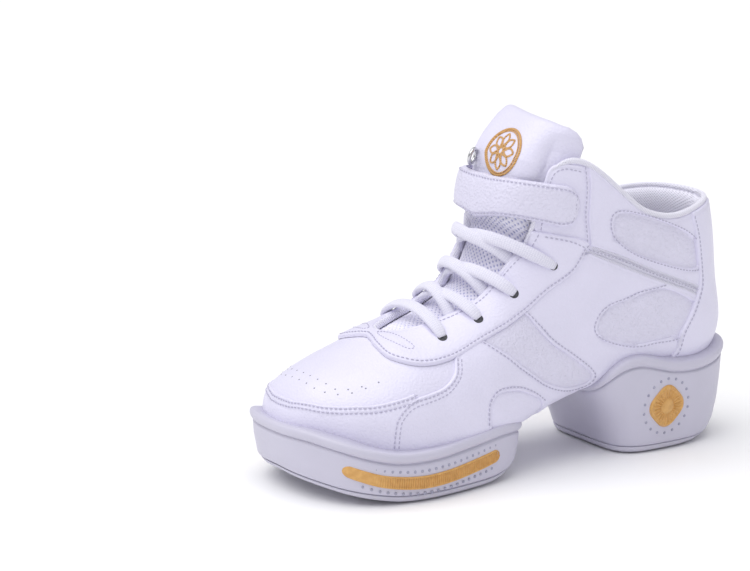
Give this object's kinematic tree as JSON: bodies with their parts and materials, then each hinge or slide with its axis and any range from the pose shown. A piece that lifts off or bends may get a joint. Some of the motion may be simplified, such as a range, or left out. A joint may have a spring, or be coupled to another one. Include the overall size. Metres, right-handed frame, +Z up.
{
  "type": "dance sneaker",
  "caption": "Hollow high-top dance sneaker with a laced throat, an ankle strap and a split sole: a forefoot unit with a turning spot and a separate block heel.",
  "frame": {"origin": "on the floor, under the middle of the shoe's bounding box", "axes": "+X from toe to heel, +Y towards the inner side of the foot, +Z up"},
  "size_m": [0.2455, 0.0977, 0.1669],
  "materials": {
    "white_leather": "smooth, finely grained",
    "white_knit": "matte knit lining",
    "white_lace": "matte woven",
    "polished_steel": "polished",
    "white_rubber": "satin foam rubber",
    "outsole_rubber": "matte outsole rubber",
    "gold_inlay": "satin gold moulding"
  },
  "bodies": {
    "root": {"upper": "white_leather", "tongue": "white_leather", "eyestay": "white_leather", "toe_guard": "white_leather", "back_stay": "white_leather", "strap": "white_leather", "insole": "white_knit", "strap_ring": "polished_steel", "lace_bar": "white_lace", "lace_cross_1": "white_lace", "lace_cross_2": "white_lace", "lace_cross_3": "white_lace", "forefoot_sole": "white_rubber", "heel_sole": "white_rubber", "forefoot_tread": "outsole_rubber", "heel_tread": "outsole_rubber", "inlay_outer": "gold_inlay", "inlay_inner": "gold_inlay", "badge_outer": "gold_inlay", "badge_inner": "gold_inlay"}
  },
  "joints": []
}
